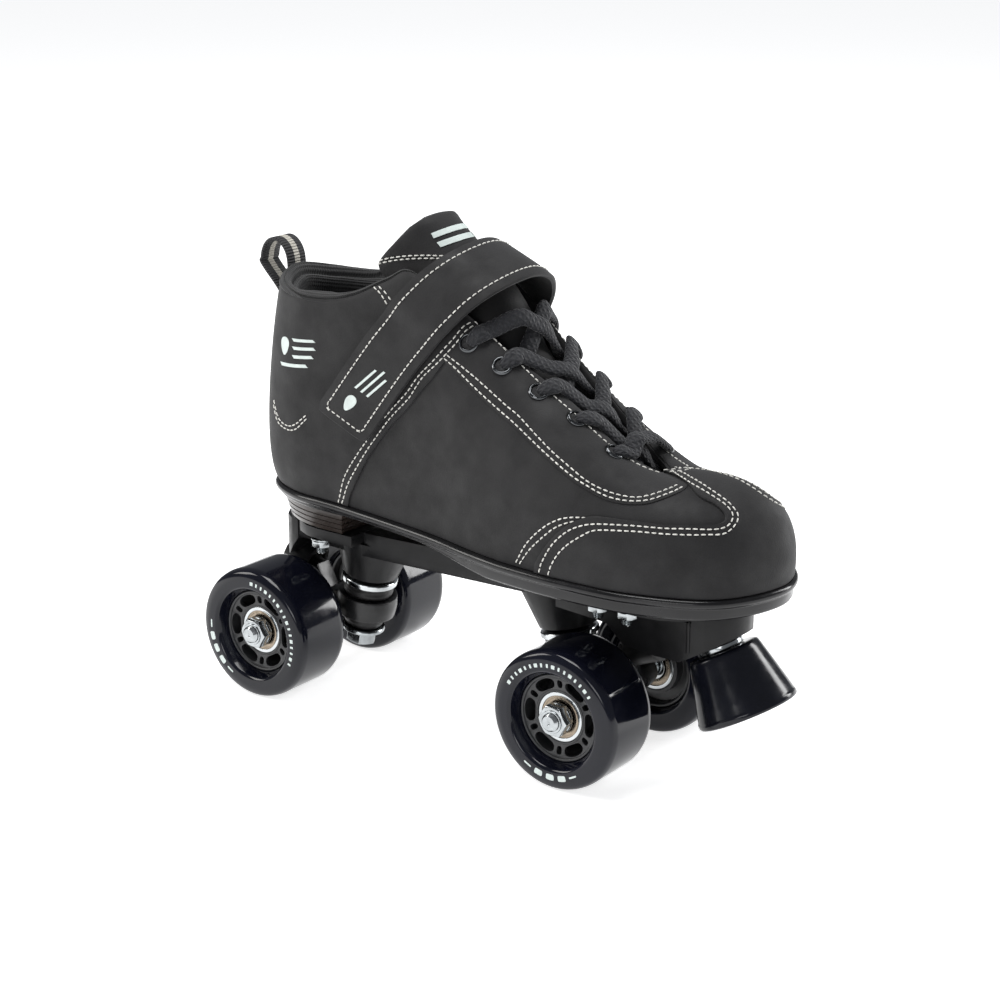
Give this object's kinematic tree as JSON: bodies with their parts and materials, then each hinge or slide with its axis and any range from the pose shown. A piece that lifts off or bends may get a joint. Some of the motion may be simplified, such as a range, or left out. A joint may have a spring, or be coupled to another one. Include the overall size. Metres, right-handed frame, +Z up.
{
  "type": "quad roller skate",
  "caption": "Right-foot quad roller skate: lace-up boot with ankle strap, moulded plate, sprung steering trucks, cushioned axles, wheels and toe stop.",
  "frame": {"origin": "on the floor under the middle of the bounding box", "axes": "+X to the toe, -Y to the outer side of the right foot, +Z up"},
  "size_m": [0.2838, 0.11, 0.229],
  "materials": {
    "upper": "matt nubuck, dark grey",
    "lining": "black knitted lining",
    "footbed": "matt",
    "sole": "polished black",
    "hook_and_loop": "looped pile",
    "webbing": "ribbed webbing with a pale stripe",
    "lace": "braided",
    "plate": "moulded nylon, satin",
    "zinc_steel": "zinc plated",
    "cast_black": "black, semi-gloss",
    "cushion": "matt",
    "stop": "glossy cast rubber",
    "wheel": "glossy cast polyurethane, blue-black",
    "hub": "moulded, dark grey",
    "bearing": "ground steel with shields"
  },
  "bodies": {
    "boot": {"upper_shell": "upper", "collar_padding": "lining", "insole": "footbed", "outsole": "sole", "tongue": "upper", "ankle_strap": "upper", "strap_patch": "hook_and_loop", "pull_loop": "webbing", "eyestay": "upper", "lace": "lace", "plate": "plate", "toe_stop": "stop", "toe_stop_bolt": "zinc_steel", "toe_stop_washer": "zinc_steel", "heel_bolt_outer": "zinc_steel", "heel_bolt_inner": "zinc_steel", "toe_bolt_outer_1": "zinc_steel", "toe_bolt_inner_1": "zinc_steel", "toe_bolt_outer_2": "zinc_steel", "toe_bolt_inner_2": "zinc_steel", "front_kingpin": "zinc_steel", "front_top_washer": "zinc_steel", "front_upper_cushion": "cushion", "front_lower_cushion": "cushion", "front_bottom_washer": "zinc_steel", "front_kingpin_nut": "zinc_steel", "front_pivot_cup": "cushion", "rear_kingpin": "zinc_steel", "rear_top_washer": "zinc_steel", "rear_upper_cushion": "cushion", "rear_lower_cushion": "cushion", "rear_bottom_washer": "zinc_steel", "rear_kingpin_nut": "zinc_steel", "rear_pivot_cup": "cushion"},
    "strap_end": {"strap_free_end": "upper"},
    "front_truck": {"front_hanger": "cast_black", "front_axle": "zinc_steel", "front_outer_axle_nut": "zinc_steel", "front_inner_axle_nut": "zinc_steel"},
    "front_outer_wheel": {"front_outer_tyre": "wheel", "front_outer_hub": "hub", "front_outer_bearings": "bearing"},
    "front_inner_wheel": {"front_inner_tyre": "wheel", "front_inner_hub": "hub", "front_inner_bearings": "bearing"},
    "rear_truck": {"rear_hanger": "cast_black", "rear_axle": "zinc_steel", "rear_outer_axle_nut": "zinc_steel", "rear_inner_axle_nut": "zinc_steel"},
    "rear_outer_wheel": {"rear_outer_tyre": "wheel", "rear_outer_hub": "hub", "rear_outer_bearings": "bearing"},
    "rear_inner_wheel": {"rear_inner_tyre": "wheel", "rear_inner_hub": "hub", "rear_inner_bearings": "bearing"}
  },
  "joints": [
    {"name": "strap_peel", "type": "hinge", "parent": "boot", "child": "strap_end", "pos_m": [-0.02339, -0.0345, 0.1895], "axis": [-0.9207, 0, 0.3903], "range_deg": [0, 60]},
    {"name": "front_steer", "type": "hinge", "parent": "boot", "child": "front_truck", "pos_m": [0.03411, 0, 0.0375], "axis": [0.9272, 0, 0.3746], "range_deg": [-7, 7], "stiffness_Nm_per_rad": 12, "deforming": ["front_upper_cushion", "front_lower_cushion"]},
    {"name": "front_outer_spin", "type": "hinge", "parent": "front_truck", "child": "front_outer_wheel", "pos_m": [0.05926, -0.0373, 0.031], "axis": [0, 1, 0], "continuous": true},
    {"name": "front_inner_spin", "type": "hinge", "parent": "front_truck", "child": "front_inner_wheel", "pos_m": [0.05926, 0.0373, 0.031], "axis": [0, 1, 0], "continuous": true},
    {"name": "rear_steer", "type": "hinge", "parent": "boot", "child": "rear_truck", "pos_m": [-0.08489, 0, 0.0375], "axis": [-0.9272, 0, 0.3746], "range_deg": [-7, 7], "stiffness_Nm_per_rad": 12, "deforming": ["rear_upper_cushion", "rear_lower_cushion"]},
    {"name": "rear_outer_spin", "type": "hinge", "parent": "rear_truck", "child": "rear_outer_wheel", "pos_m": [-0.11004, -0.0373, 0.031], "axis": [0, 1, 0], "continuous": true},
    {"name": "rear_inner_spin", "type": "hinge", "parent": "rear_truck", "child": "rear_inner_wheel", "pos_m": [-0.11004, 0.0373, 0.031], "axis": [0, 1, 0], "continuous": true}
  ]
}
